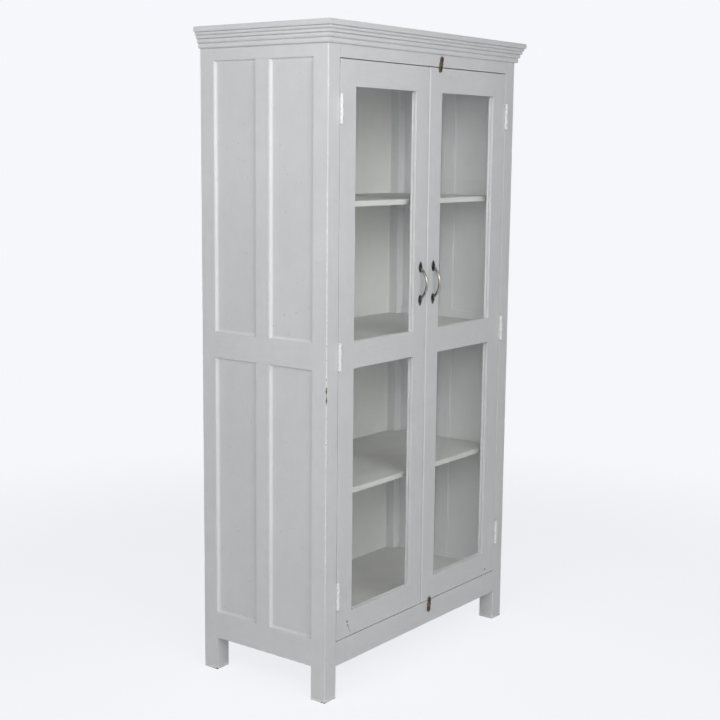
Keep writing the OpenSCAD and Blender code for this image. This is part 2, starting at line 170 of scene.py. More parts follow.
def plank(low, high, axis, ease, wear=UNWORN, end=0.4, seed=1, scuff=None, foot=0.0):
    """A board between two corners of its box, running along one axis.

    Its outline is the box's rectangle, with each edge eased by its own radius in millimetres.
    Where an edge is worn the radius wavers along the board and jumps up in short knocks. Over
    each end a quarter round of radius end turns the faces into the flat end. A scuff (edge,
    middle, reach, extra) adds a bell curve of wear to one edge, and foot adds rubbing that dies
    away upwards from the low end.
    """
    low, high = np.array(low, float), np.array(high, float)
    a, b = (axis + 1) % 3, (axis + 2) % 3
    end = end * MM
    count = max(4, int((high[axis] - low[axis]) / STATION))
    body = np.linspace(low[axis] + end, high[axis] - end, count)
    quarter = np.linspace(0, np.pi / 2, 4)
    rise = end * (1 - np.cos(quarter[1:]))
    reach = end * np.sin(quarter[1:])
    along = np.concatenate([(body[0] - reach)[::-1], body, body[-1] + reach])
    inset = np.concatenate([rise[::-1], np.zeros(count), rise])
    turned = np.concatenate([-np.sin(quarter[:0:-1]), np.zeros(count), np.sin(quarter[1:])])
    corners = rectangle(low[a], low[b], high[a], high[b])
    ease, wear = np.array(ease, float), np.array(wear, float)
    waves = np.array([edge_waves(along, seed + k, seed + 40 + k) for k in range(4)])
    slow, chips = np.moveaxis(waves, 0, -1)
    wear = np.broadcast_to(wear, slow.shape).copy()
    if scuff:
        edge, middle, spread, extra = scuff
        wear[:, edge] += extra * np.exp(-(((along - middle) / spread) ** 2))
    radii = ease * MM * (1 + wear * (SLOW_WAVE * slow + KNOCK * chips))
    corners = np.broadcast_to(corners, (len(along), 4, 2))
    outline, ways = eased_outline(corners, SQUARE, radii, inset, SHOULDER)
    points, normals = placed(outline, ways, along, turned, axis)
    arris = rubbing(wear, chips).reshape(len(along), -1)
    arris += foot * np.exp(-(along - low[axis]) / FOOT_RUB)[:, None]
    return points, normals, arris


def room_inside(points, faces):
    """Six times the volume under a group of faces.

    Each face is a fan of triangles from its first corner, and a triangle gives its corners'
    triple product.
    """
    corner = points[faces]
    fan = np.cross(corner[:, 1:-1], corner[:, 2:])
    return (corner[:, :1] * fan).sum()


def stood(name, data):
    """A new object in the scene that holds this data."""
    made = bpy.data.objects.new(name, data)
    bpy.context.scene.collection.objects.link(made)
    return made


def skin(name, parts, body, finish, stands_for, capped=True, flip=False, tone=0.0):
    """One mesh from grids whose rows are closed loops.

    Neighbours along and around make a quad, and a flat face closes each end where capped.
    Points in the same place become one, and quads that lose corners by it become triangles or
    go. Each face corner keeps the direction its own grid point gave it, and an end face points
    from the row before it towards the end. flip puts a shape drawn on the right on the left by
    changing the sign of x. If the volume inside comes out negative, every face runs the other
    way round.
    """
    places, ways, rubs, loops, totals = [], [], [], [], []
    offset = 0
    mirror = np.array([-1.0 if flip else 1.0, 1, 1])
    for points, normals, arris in parts:
        rows, around = points.shape[:2]
        flat = points.reshape(-1, 3) * mirror
        grid = np.arange(rows * around).reshape(rows, around)
        beside = np.roll(grid, -1, axis=1)
        quads = np.stack([grid[:-1], beside[:-1], beside[1:], grid[1:]], axis=-1).reshape(-1, 4)
        faces = [quads] + ([grid[:1, ::-1], grid[-1:]] if capped else [])
        if sum(room_inside(flat, group) for group in faces) < 0:
            faces = [group[:, ::-1] for group in faces]
        _, first, merged = np.unique(
            np.round(flat / MERGE).astype(np.int64), axis=0, return_index=True, return_inverse=True
        )
        merged = merged.reshape(-1)
        facing = [normals.reshape(-1, 3)] * len(faces)
        if capped:
            endward = points[[0, -1]].mean(axis=1) - points[[1, -2]].mean(axis=1)
            endward /= np.maximum(np.linalg.norm(endward, axis=1, keepdims=True), TINY)
            facing[1:] = [np.broadcast_to(way, flat.shape) for way in endward]
        for group, group_ways in zip(faces, facing):
            index = merged[group]
            keep = index != np.roll(index, -1, axis=1)
            keep &= keep.sum(axis=1, keepdims=True) > 2
            total = keep.sum(axis=1)
            loops.append(index[keep] + offset)
            ways.append(group_ways[group[keep]] * mirror)
            totals.append(total[total > 0])
        places.append(flat[first])
        rubs.append(arris.reshape(-1)[first])
        offset += len(first)
    places, ways, rubs = np.concatenate(places), np.concatenate(ways), np.concatenate(rubs)
    loops, totals = np.concatenate(loops), np.concatenate(totals)
    mesh = bpy.data.meshes.new(name)
    mesh.vertices.add(len(places))
    mesh.vertices.foreach_set("co", places.astype(np.float32).ravel())
    mesh.loops.add(len(loops))
    mesh.loops.foreach_set("vertex_index", loops.astype(np.int32))
    mesh.polygons.add(len(totals))
    starts = np.concatenate([[0], np.cumsum(totals)[:-1]])
    mesh.polygons.foreach_set("loop_start", starts.astype(np.int32))
    mesh.polygons.foreach_set("loop_total", totals.astype(np.int32))
    mesh.update(calc_edges=True)
    for label, levels in (("arris", rubs), ("tone", np.full(len(places), tone))):
        layer = mesh.attributes.new(label, "FLOAT", "POINT")
        layer.data.foreach_set("value", levels.astype(np.float32))
    if np.isfinite(ways).all():
        mesh.normals_split_custom_set(ways.tolist())
    else:
        mesh.set_sharp_from_angle(angle=SHARP_BEND)
    mesh.validate()
    piece = stood(name, mesh)
    mesh.materials.append(finish)
    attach(piece, body)
    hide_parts(*stands_for)
    return piece


def ring(opening, outline, ways, plane, through):
    """A closed outline carried round an opening's four sides, with mitred corners.

    The outline's first axis is the distance out from the opening and its second runs through
    it. Each side has a row at both of its ends, in which a point stands out from the opening's
    corner along the corner's diagonal. Its direction turns with the side.
    """
    (u0, v0), (u1, v1) = opening
    corners = rectangle(u0, v0, u1, v1)
    rows = np.array([0, 1, 1, 2, 2, 3, 3, 0, 0])
    side = np.array([0, 0, 1, 1, 2, 2, 3, 3, 0])
    points = np.empty((len(rows), len(outline), 3))
    normals = np.empty_like(points)
    for i, axis in enumerate(plane):
        points[..., axis] = corners[rows, i, None] + DIAGONALS[rows, i, None] * outline[:, 0]
        normals[..., axis] = SQUARE[side, i, None] * ways[:, 0]
    points[..., through] = outline[:, 1]
    normals[..., through] = ways[:, 1]
    return points, normals, np.zeros(points.shape[:2])


def free_form(points):
    """A grid with no directions of its own: the mesh works them out, sharp over SHARP_BEND."""
    return points, np.full(points.shape, np.nan)


# Finishes


class Finish:
    """A material built node by node.

    add() makes a node and sets its inputs, and a tuple (node, output) in place of a value makes
    a link.
    """

    def __init__(self, name, **shader):
        self.material = bpy.data.materials.new(name)
        self.material.use_nodes = True
        self.tree = self.material.node_tree
        self.tree.nodes.clear()
        self.out = self.add("ShaderNodeOutputMaterial")
        self.shader = self.add("ShaderNodeBsdfPrincipled", **shader)
        self.tree.links.new(self.shader.outputs["BSDF"], self.out.inputs["Surface"])
        self.place = (self.add("ShaderNodeTexCoord"), "Object")

    def add(self, kind, settings=None, **inputs):
        node = self.tree.nodes.new(kind)
        for key, value in (settings or {}).items():
            setattr(node, key, value)
        for key, value in inputs.items():
            self.set(node, key.replace("_", " "), value)
        return node

    def set(self, node, key, value):
        socket = node.inputs[int(key)] if key.isdigit() else node.inputs[key]
        if isinstance(value, tuple) and isinstance(value[0], bpy.types.Node):
            self.tree.links.new(value[0].outputs[value[1]], socket)
        else:
            socket.default_value = value

    def fed(self, kind, settings, *values):
        """A node whose first inputs take these values in order."""
        node = self.add(kind, settings)
        for key, value in enumerate(values):
            self.set(node, str(key), value)
        return node

    def stretched(self, scale, offset=(0, 0, 0)):
        """The place times a scale along each axis, plus an offset."""
        node = self.add("ShaderNodeMapping", Vector=self.place)
        node.inputs["Scale"].default_value = scale
        node.inputs["Location"].default_value = offset
        return (node, "Vector")

    def noise(self, vector, scale, detail=3, rough=0.5, twist=0.0):
        shape = {"Scale": scale, "Detail": detail, "Roughness": rough, "Distortion": twist}
        return (self.add("ShaderNodeTexNoise", Vector=vector, **shape), "Fac")

    def ranged(self, value, low, high, to_low=0.0, to_high=1.0, smooth=False):
        """A value held between low and high, and moved in proportion to to_low and to_high."""
        curve = {"interpolation_type": "SMOOTHSTEP" if smooth else "LINEAR"}
        ends = {"From_Min": low, "From_Max": high, "To_Min": to_low, "To_Max": to_high}
        return (self.add("ShaderNodeMapRange", curve, Value=value, **ends), "Result")

    def sum(self, kind, one, other, third=0.5, clamp=False):
        """A sum of one kind on two values, or on three where it takes them."""
        settings = {"operation": kind, "use_clamp": clamp}
        return (self.fed("ShaderNodeMath", settings, one, other, third), "Value")

    def mix(self, share, one, other):
        """Two colours in proportion: one less the share of the first, the share of the other."""
        node = self.add("ShaderNodeMix", {"data_type": "RGBA"})
        self.set(node, "0", share)
        self.set(node, "6", one)
        self.set(node, "7", other)
        return (node, 2)

    def level(self, name):
        return (self.add("ShaderNodeAttribute", {"attribute_name": name}), "Fac")

    def vector(self, kind, one, other, output="Vector"):
        return (self.fed("ShaderNodeVectorMath", {"operation": kind}, one, other), output)

    def knot(self, x, z, radius):
        """One within a radius of a point on the front, nought outside it."""
        flat = self.vector("MULTIPLY", self.place, (1, 0, 1))
        off = self.vector("DISTANCE", flat, (x, 0, z), "Value")
        return self.ranged(off, radius, 0.55 * radius, smooth=True)

    def crack(self, x0, z0, x1, z1):
        """One on a hairline between two points on the front.

        Its two ends are where the distance along it, a dot product, is nought and its length,
        and noise sways it sideways.
        """
        length = math.hypot(x1 - x0, z1 - z0)
        run = ((x1 - x0) / length, 0, (z1 - z0) / length)
        from_start = self.vector("SUBTRACT", self.place, (x0, 0, z0))
        along = self.vector("DOT_PRODUCT", from_start, run, "Value")
        aside = self.vector("DOT_PRODUCT", from_start, (-run[2], 0, run[0]), "Value")
        sway = self.ranged(self.noise(self.place, 130, 2), 0.3, 0.7, -0.002, 0.002)
        off = self.sum("ABSOLUTE", self.sum("ADD", aside, sway), 0)
        line = self.ranged(off, 0.0011, 0.0004, smooth=True)
        start, stop = self.ranged(along, 0, 0.003), self.ranged(along, length, length - 0.006)
        held = self.sum("MULTIPLY", start, stop)
        return self.sum("MULTIPLY", self.sum("MULTIPLY", line, held), 0.75)

    def relief(self, height, depth, strength=1.0):
        node = self.add("ShaderNodeBump", Height=height, Strength=strength)
        node.inputs["Distance"].default_value = depth
        self.set(self.shader, "Normal", (node, "Normal"))


PAINT = (0.742, 0.751, 0.762, 1)
PAINT_SHADE = (0.680, 0.689, 0.696, 1)
PAINT_RUBBED = (0.83, 0.83, 0.815, 1)
BARE_WOOD = (0.14, 0.10, 0.07, 1)
STRETCH = 0.045  # how much slower the paint's brush lines change along the grain


def painted(name, run, light=PAINT, shade=PAINT_SHADE, gloss=0.5, knots=(), crack=None):
    """Brushed off-white paint on wood whose grain runs along one axis.

    Colour is a blend of two paints by slow mottling, brush lines stretched along the grain, fine
    speckle and the board's own tone. A rubbed edge first shows paler primer, then bare wood in
    its deepest knocks, both broken up by noise. Small dark flecks sit where a cell's point comes
    close to the face. A knot (x, z, radius) is dark within its radius, seen from the front, and
    a crack (x, z, x, z) is a hairline between two such points. Brush lines, flecks and chips
    are in the relief as well.
    """
    f = Finish(name, IOR=1.46)
    grain = [1.0, 1.0, 1.0]
    grain[run] = STRETCH
    lines = f.noise(f.stretched(grain), 330, 4, 0.6)
    pores = f.noise(f.stretched(grain, (3, 5, 7)), 120, 5, 0.65, 0.4)
    mottle = f.noise(f.place, 4.5, 5, 0.62)
    grime = f.noise(f.place, 28, 4, 0.6)
    slow = f.ranged(mottle, 0.3, 0.7, 0.05, 0.75)
    share = f.sum("MULTIPLY_ADD", f.level("tone"), 0.10, slow)
    share = f.sum("ADD", share, f.ranged(lines, 0.3, 0.7, -0.16, 0.16))
    share = f.sum("ADD", share, f.ranged(pores, 0.3, 0.7, -0.12, 0.14))
    share = f.sum("ADD", share, f.ranged(f.noise(f.place, 420, 2, 0.7), 0.25, 0.75, -0.30, 0.30))
    share = f.sum("ADD", share, f.ranged(grime, 0.3, 0.7, -0.22, 0.22), clamp=True)
    colour = f.mix(share, shade, light)

    arris = f.level("arris")
    knock = f.noise(f.place, 75, 6, 0.72)
    worn = f.sum("ADD", arris, f.ranged(knock, 0.25, 0.75, -0.75, 0.55))
    rubbed = f.ranged(worn, 0.42, 0.72, smooth=True)
    bare = f.ranged(worn, 1.14, 1.26, smooth=True)
    colour = f.mix(f.sum("MULTIPLY", rubbed, 0.75), colour, PAINT_RUBBED)

    cells = f.add("ShaderNodeTexVoronoi", Vector=f.place, Scale=38.0)
    parted = f.add("ShaderNodeSeparateColor", Color=(cells, "Color"))
    fleck = f.ranged((cells, "Distance"), 0.05, 0.03, smooth=True)
    fleck = f.sum("MULTIPLY", fleck, f.ranged((parted, "Red"), 0.5, 0.55))
    hole = f.sum("MAXIMUM", bare, f.sum("MULTIPLY", fleck, 0.8))
    for mark in [f.knot(*knot) for knot in knots] + ([f.crack(*crack)] if crack else []):
        hole = f.sum("MAXIMUM", hole, mark)
    colour = f.mix(hole, colour, BARE_WOOD)
    f.set(f.shader, "Base Color", colour)
    rough = f.ranged(grime, 0.3, 0.7, gloss - 0.05, gloss + 0.1)
    f.set(f.shader, "Roughness", f.sum("MULTIPLY_ADD", hole, 0.25, rough))

    height = f.sum("ADD", f.sum("MULTIPLY", lines, 0.5), f.sum("MULTIPLY", pores, 0.4))
    height = f.sum("ADD", height, f.sum("MULTIPLY", f.noise(f.place, 11, 2), 1.6))
    height = f.sum("SUBTRACT", height, f.sum("MULTIPLY", hole, 1.2))
    f.relief(height, 0.00035)
    return f.material


DOOR_FOOT_KNOTS = ((-0.3621, 0.2089, 0.0040), (-0.3597, 0.1981, 0.0030), (0.3574, 0.1817, 0.0035))
DOOR_FOOT_CRACK = (-0.3590, 0.1960, -0.3420, 0.1715)
upright = painted("painted_uprights", UP, knots=DOOR_FOOT_KNOTS, crack=DOOR_FOOT_CRACK)
crossing = painted("painted_rails", ACROSS)
side_crossing = painted("painted_side_rails", DEEP)
panel_paint = painted(
    "painted_side_panels", UP, (0.725, 0.734, 0.742, 1), (0.673, 0.682, 0.689, 1), 0.52
)
# Paler than the panels' paint: a painted highlight along the hollows round the side panels.
cove_paint_painted_highlight = painted("painted_hollows", UP, (0.80, 0.805, 0.80, 1), (0.735, 0.74, 0.73, 1), 0.5)
# Paler than the case's paint: painted light on the back panel inside the cabinet, with a faint warm
# tint.
inside_paint_painted_light = painted("painted_inside", UP, (0.835, 0.84, 0.82, 1), (0.76, 0.765, 0.74, 1), 0.5)
# Greyer and darker than the case's paint: painted shade on the shelves and the bottom board.
shelf_paint_painted_shade = painted(
    "painted_shelves", ACROSS, (0.57, 0.575, 0.555, 1), (0.47, 0.475, 0.455, 1), 0.6
)


def pane_glass():
    """Clear sheet glass with a slow roll; a thin film of dust makes patches a little rougher."""
    clear = (0.975, 0.98, 0.97, 1)
    f = Finish("sheet_glass", Base_Color=clear, Transmission_Weight=1.0, IOR=1.45)
    film = f.noise(f.place, 3.0, 5, 0.6)
    f.set(f.shader, "Roughness", f.ranged(film, 0.45, 0.75, 0.0, 0.035))
    f.relief(f.noise(f.place, 2.2, 1), 0.0006, 0.35)
    return f.material


def cast_metal(name, dark, bright, metal, rough, scale):
    """Cast metal with a dark, faintly pitted skin.

    Rubbing brings up the bright metal, broken by noise.
    """
    f = Finish(name, Metallic=metal)
    cloud = f.noise(f.place, scale, 5, 0.65)
    share = f.sum("ADD", f.level("arris"), f.ranged(cloud, 0.3, 0.7, -0.35, 0.3), clamp=True)
    f.set(f.shader, "Base Color", f.mix(share, dark, bright))
    f.set(f.shader, "Roughness", f.ranged(share, 0, 1, rough + 0.18, rough))
    f.relief(f.noise(f.place, scale * 6, 3, 0.7), 0.00012, 0.7)
    return f.material


glass = pane_glass()
pewter = cast_metal(
    "dark_pewter", (0.028, 0.026, 0.021, 1), (0.60, 0.57, 0.52, 1), 0.92, 0.24, 160
)
brass = cast_metal(
    "aged_brass", (0.06, 0.048, 0.038, 1), (0.44, 0.34, 0.24, 1), 0.85, 0.42, 190
)
zinc = cast_metal("zinc_screws", (0.30, 0.30, 0.30, 1), (0.62, 0.62, 0.61, 1), 0.9, 0.35, 240)


def flaked(name, light, shade):
    """Thick white paint flaking off a hinge.

    It is bright where it holds, and grey-brown in cracks between blobs of noise, with a deep
    relief.
    """
    f = Finish(name, IOR=1.46)
    blobs = f.noise(f.stretched((1, 1, 0.6)), 210, 4, 0.65)
    cracks = f.noise(f.stretched((0.3, 0.3, 1.0), (1, 2, 3)), 120, 3, 0.6)
    chipped = f.ranged(blobs, 0.40, 0.33, smooth=True)
    lost = f.sum("MAXIMUM", chipped, f.ranged(cracks, 0.36, 0.30, smooth=True))
    colour = f.mix(f.ranged(blobs, 0.35, 0.6), shade, light)
    f.set(f.shader, "Base Color", f.mix(lost, colour, (0.36, 0.34, 0.31, 1)))
    f.set(f.shader, "Roughness", f.ranged(lost, 0, 1, 0.4, 0.75))
    f.relief(f.sum("SUBTRACT", blobs, lost), 0.0008)
    return f.material


hinge_paint = flaked("flaked_hinge_paint", (0.90, 0.90, 0.89, 1), (0.74, 0.745, 0.735, 1))


# Case


def corners_of(node):
    low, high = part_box(node)
    return np.array(low), np.array(high)


OPEN_EDGE, TIGHT_EDGE, FLUSH = 1.4, 0.3, 0.15  # edges in the open, in a corner and in a flush joint
CASE = "case"


def case_board(node, axis, ease, wear=UNWORN, seed=1, tone=0.0, scuff=None):
    """A board of the case in place of its plain solid."""
    finish = (crossing, side_crossing, upright)[axis]
    low, high = corners_of(node)
    part = plank(low, high, axis, ease, wear, FLUSH, seed, scuff)
    return skin(node + "_board", [part], CASE, finish, [node], tone=tone)


# Posts: the edges run front left, front right, back right, back left
post_edges = {
    "post_front_left": ((2.2, 1.6, 0.5, FLUSH), (0.72, 0.35, 0, 0.1), 0.3),
    "post_front_right": ((1.6, 2.2, FLUSH, 0.5), (0.35, 0.6, 0.1, 0), -0.4),
    "post_back_left": ((FLUSH, 0.5, 1.2, 2.0), (0.1, 0, 0.4, 0.6), 0.1),
    "post_back_right": ((0.5, FLUSH, 2.0, 1.2), (0, 0.1, 0.6, 0.4), -0.2),
}
LEG_END, LEG_FOOT = 2.0, 1.5  # the round at a leg's ends in millimetres, and how rubbed its foot is
for number, (node, (ease, wear, tone)) in enumerate(post_edges.items()):
    low, high = corners_of(node)
    scuff = (0, 0.90, 0.20, 0.8) if node == "post_front_left" else None
    part = plank(low, high, UP, ease, wear, LEG_END, 100 + 10 * number, scuff, LEG_FOOT)
    skin(node + "_leg", [part], CASE, upright, [node], tone=tone)

# Rails of the front: the edges run front bottom, back bottom, back top, front top
top_ease, bottom_ease = (0.5, 0.5, 0.5, TIGHT_EDGE), (OPEN_EDGE, 0.6, TIGHT_EDGE, 0.6)
case_board("front_top_rail", ACROSS, top_ease, (0.3, 0, 0, 0), 210, tone=0.3)
case_board("front_bottom_rail", ACROSS, bottom_ease, (0.8, 0.3, 0, 0.5), 220, tone=-0.2)

# Rails of the sides: the edges run bottom inner, top inner, top outer, bottom outer on the right
for side in ("left", "right"):
    shift = 0 if side == "left" else 50
    for part_name, bottom, top in (
        ("top_rail", 1.0, TIGHT_EDGE),
        ("mid_rail", 1.0, 1.0),
        ("bottom_rail", 1.6, 1.0),
    ):
        lowest = part_name == "bottom_rail"
        outer = (0.4, 0.4, top, bottom)
        rub = (0, 0, 0.3, 0.9 if lowest else 0.25)
        if side == "left":
            outer, rub = outer[::-1], rub[::-1]
        bared = (0 if side == "left" else 3, -0.07, 0.13, 1.3) if lowest else None
        seed = 230 + shift + len(part_name)
        case_board(f"{side}_side_{part_name}", DEEP, outer, rub, seed, (shift - 20) / 80, bared)


def bays(node, axis):
    """The lowest and highest corner of each solid of a node, one after another along an axis.

    Taken in order, the levels at which its points lie are a start and an end by turns.
    """
    co = np.array([v.co for v in nodes[node].data.vertices], float)
    levels = np.unique(np.round(co[:, axis], 5))
    pairs = levels.reshape(-1, 2)
    made = []
    for low_level, high_level in pairs:
        inside = co[(co[:, axis] > low_level - 0.1 * MM) & (co[:, axis] < high_level + 0.1 * MM)]
        made.append((inside.min(axis=0), inside.max(axis=0)))
    return made


COVE = 7.0 * MM  # the hollow of paint and putty between a side panel and its frame
COVE_SINK = 0.3 * MM


def cove(low, high, side):
    """The hollow corner round a panel.

    A quarter circle leaves the frame's edge and lands on the panel, its centre COVE away from
    both, backed by a square corner sunk COVE_SINK into the wood.
    """
    turn = np.linspace(0, np.pi / 2, 9)
    inward = np.concatenate([COVE * (1 - np.cos(turn)), [COVE, -COVE_SINK, -COVE_SINK]])
    raised = np.concatenate([COVE * (1 - np.sin(turn)), [-COVE_SINK, -COVE_SINK, COVE]])
    ways = np.stack([-np.cos(turn), np.sin(turn)], axis=-1)
    ways = np.concatenate([ways, [[0, -1], [1, -1], [1, 0]]]).astype(float)
    ways /= np.linalg.norm(ways, axis=-1, keepdims=True)
    way, face = (1, high[ACROSS]) if side == "right" else (-1, low[ACROSS])
    outline = np.stack([-inward, face + way * raised], axis=-1)
    ways[:, 1] *= way
    opening = ((low[DEEP], low[UP]), (high[DEEP], high[UP]))
    return ring(opening, outline, ways, (DEEP, UP), ACROSS)


for side in ("left", "right"):
    shift = 0 if side == "left" else 50
    uprights, panels, coves = [], [], []
    muntin_low, muntin_high = corners_of(f"{side}_side_muntins")
    for number, (low, high) in enumerate(bays(f"{side}_side_muntins", UP)):
        outer = (1.0, 0.4, 0.4, 1.0) if side == "left" else (0.4, 1.0, 1.0, 0.4)
        rub = (0.2, 0, 0, 0.2) if side == "left" else (0, 0.2, 0.2, 0)
        uprights.append(plank(low, high, UP, outer, rub, TIGHT_EDGE, 320 + shift + number))
    stands_for = [f"{side}_side_muntins"]
    skin(f"{side}_side_uprights", uprights, CASE, upright, stands_for, tone=0.2)
    for number, (low, high) in enumerate(bays(f"{side}_side_panels", UP)):
        for y0, y1 in ((low[DEEP], muntin_low[DEEP]), (muntin_high[DEEP], high[DEEP])):
            one, other = low.copy(), high.copy()
            one[DEEP], other[DEEP] = y0, y1
            panels.append(plank(one, other, UP, (0.3,) * 4, end=0.3, seed=340 + shift + number))
            coves.append(cove(one, other, side))
    stands_for = [f"{side}_side_panels"]
    skin(f"{side}_side_boards", panels, CASE, panel_paint, stands_for, tone=-0.2)
    # The coves take the paler paint that paints a highlight along them.
    skin(f"{side}_side_coves", coves, CASE, cove_paint_painted_highlight, stands_for, capped=False)

case_board("back_top_rail", ACROSS, (1.2, 0.5, 0.5, 1.2), (0.3, 0, 0, 0.3), 400, tone=0.2)
case_board("back_bottom_rail", ACROSS, (1.2, 0.5, 0.5, 1.2), (0.5, 0, 0, 0.3), 410, tone=-0.2)
case_board("top_board", ACROSS, (0.4, 0.4, 1.2, 0.5), (0, 0, 0.4, 0), 420, tone=0.1)
case_board("door_stop", ACROSS, (0.8, 0.8, 0.4, 0.4), UNWORN, 430)


CROWN_NOSE = 2.6 * MM  # how far a band's round stands out from its own groove
CROWN_STEPS = np.array([[12.5, 8], [12.5, 12.5], [8.5, 17], [9, 21], [14.5, 26]]) * MM


def crown_outline():
    """The crown's outline, out from the case and up from the crown's lower edge, with its directions.

    Each band is two quarters of an ellipse, half the band high. The upper quarter goes in by
    CROWN_NOSE. So does the lower quarter of every other band, over a flat underside, and the
    bands between start from the groove of the band below. The back closes the outline.
    """
    heights, reaches = CROWN_STEPS[:, 0], CROWN_STEPS[:, 1]
    bottoms = np.concatenate([[0], np.cumsum(heights)[:-1]])
    groove = np.concatenate([[0], reaches[:-1] - CROWN_NOSE])
    lower = np.where(np.arange(len(heights)) % 2, reaches - groove, CROWN_NOSE)
    turn = np.linspace(-np.pi / 2, np.pi / 2, 13)
    depth = np.where(turn[None] < 0, lower[:, None], CROWN_NOSE)
    half = heights[:, None] / 2
    out = reaches[:, None] - depth * (1 - np.cos(turn)[None])
    noses = np.stack([out, bottoms[:, None] + half * (1 + np.sin(turn)[None])], axis=-1)
    ways = np.stack([half * np.cos(turn)[None], depth * np.sin(turn)[None]], axis=-1)
    ways /= np.linalg.norm(ways, axis=-1, keepdims=True)
    feet = np.stack([groove, bottoms], axis=-1)
    down = np.broadcast_to([0.0, -1.0], feet.shape)
    points = np.concatenate([feet[:, None], noses], axis=1).reshape(-1, 2)
    normals = np.concatenate([down[:, None], ways], axis=1).reshape(-1, 2)
    height = heights.sum()
    back = np.array([[0, height], [0, height], [0, 0]])
    back_ways = np.array([[0, 1], [-1, 0], [-1, 0]])
    rub = np.concatenate([[0], np.cos(turn) ** 2])
    rub = np.concatenate([np.tile(rub, len(heights)), np.zeros(len(back))])
    return np.concatenate([points, back]), np.concatenate([normals, back_ways]), rub


MITRE_RUB = 0.012  # how far the rubbing of a mitred corner reaches
CROWN_STATION = 0.015
CROWN_WAVE = 0.03


def crown_run(node, along_axis, face, outward, start, stop, start_mitre, stop_mitre, seed, tone):
    """The crown's outline carried along one side of the case.

    The reach of each point lengthens its own run at an end that is mitred, so that two runs
    meet on the corner's diagonal.
    """
    outline, ways, rub = crown_outline()
    base = corners_of(node)[0][UP]
    count = int((stop - start) / CROWN_STATION)
    share = (1 - np.cos(np.pi * np.linspace(0, 1, count)))[:, None] / 2
    reach = outline[None, :, 0]
    first = start - start_mitre * reach
    last = stop + stop_mitre * reach
    points = np.empty((count, len(outline), 3))
    normals = np.zeros_like(points)
    other = DEEP if along_axis == ACROSS else ACROSS
    points[..., along_axis] = first + share * (last - first)
    points[..., other] = face + outward * reach
    points[..., UP] = base + outline[None, :, 1]
    normals[..., other] = outward * ways[None, :, 0]
    normals[..., UP] = ways[None, :, 1]
    run = share[:, 0] * (stop - start)
    worn = 0.5 * np.clip(waver(run, seed, CROWN_WAVE), 0, 1)
    at_start, at_stop = np.exp(-run / MITRE_RUB), np.exp(-run[::-1] / MITRE_RUB)
    worn += 0.5 * (start_mitre * at_start + stop_mitre * at_stop)
    part = points, normals, worn[:, None] * rub[None]
    finish = crossing if along_axis == ACROSS else side_crossing
    return skin(node + "_moulding", [part], CASE, finish, [node], tone=tone)


top_low, top_high = corners_of("top_board")
crown_run("crown_front", ACROSS, top_low[DEEP], -1, top_low[ACROSS], top_high[ACROSS], 1, 1, 440, 0.4)
crown_run("crown_left", DEEP, top_low[ACROSS], -1, top_low[DEEP], top_high[DEEP], 1, 0, 450, 0.2)
crown_run("crown_right", DEEP, top_high[ACROSS], 1, top_low[DEEP], top_high[DEEP], 1, 0, 460, -0.1)

# Cleats under the shelves
for side in ("left", "right"):
    cleats = [
        plank(low, high, DEEP, (0.8,) * 4, end=0.6, seed=470 + number)
        for number, (low, high) in enumerate(bays(f"shelf_cleats_{side}", UP))
    ]
    skin(f"{side}_cleats", cleats, CASE, side_crossing, [f"shelf_cleats_{side}"])


def softened(node, finish, width):
    """A plain solid that keeps its shape: its loose faces are joined and its edges rounded."""
    piece = nodes[node]
    join = piece.modifiers.new("joined", "WELD")
    join.merge_threshold = 1e-5
    rounding = piece.modifiers.new("rounded", "BEVEL")
    rounding.width = width * MM
    rounding.segments = 3
    rounding.limit_method = "ANGLE"
    rounding.harden_normals = True
    coat(node, finish)


def coat(node, finish):
    """A plain solid with this finish in each of its slots."""
    for slot in nodes[node].material_slots:
        slot.material = finish


# The shelves and the bottom board take the darker paint that paints their shade.
for node in ("bottom_board", "upper_shelf", "middle_shelf", "lower_shelf"):
    softened(node, shelf_paint_painted_shade, 1.0)
# The back panel takes the paler paint that paints light inside the cabinet.
softened("back_panel", inside_paint_painted_light, 0.4)


# Doors, made on the right and put on the left with flip


def front_back(door):
    """Front, lip and back planes of a door, and the width of its rebates, from its solids."""
    stile_low, stile_high = corners_of(f"{door}_hinge_stile")
    glass_low, bead_low, rail_low = (
        corners_of(f"{door}_{part}")[0] for part in ("upper_glass", "glazing_beads", "door_mid_rail")
    )
    rebate = rail_low[ACROSS] - bead_low[ACROSS]
    return stile_low[DEEP], glass_low[DEEP], stile_high[DEEP], rebate


def mirrored_box(node, door):
    """A node's box as it is on the right door."""
    low, high = corners_of(node)
    if door == "left":
        low[ACROSS], high[ACROSS] = -high[ACROSS], -low[ACROSS]
    return low, high


def windows(door):
    """Lower and upper edge of each of the two openings."""
    top, mid, bottom = (
        mirrored_box(f"{door}_door_{part}_rail", door) for part in ("top", "mid", "bottom")
    )
    return ((bottom[1][UP], mid[0][UP]), (mid[1][UP], top[0][UP]))


def on_door(door, name, parts, finish, node, capped=True, tone=0.0):
    """A piece of a door that stands for one node."""
    return skin(name, parts, f"{door}_door", finish, [node], capped, door == "left", tone)


def door_board(door, node, axis, along, corners, sides, radii, wear, chips, shoulder, tone):
    """A board of a door, from its outline at every station along it."""
    flat = np.zeros(len(along))
    outline, ways = eased_outline(corners, sides, radii, flat, shoulder)
    points, normals = placed(outline, ways, along, flat, axis)
    part = points, normals, rubbing(wear, chips[:, None]).reshape(len(along), -1)
    finish = upright if axis == UP else crossing
    return on_door(door, node + "_wood", [part], finish, node, tone=tone)


RAMP = 4 * MM  # over which an opening's eased edge comes in
CUT_STEP = 1e-8


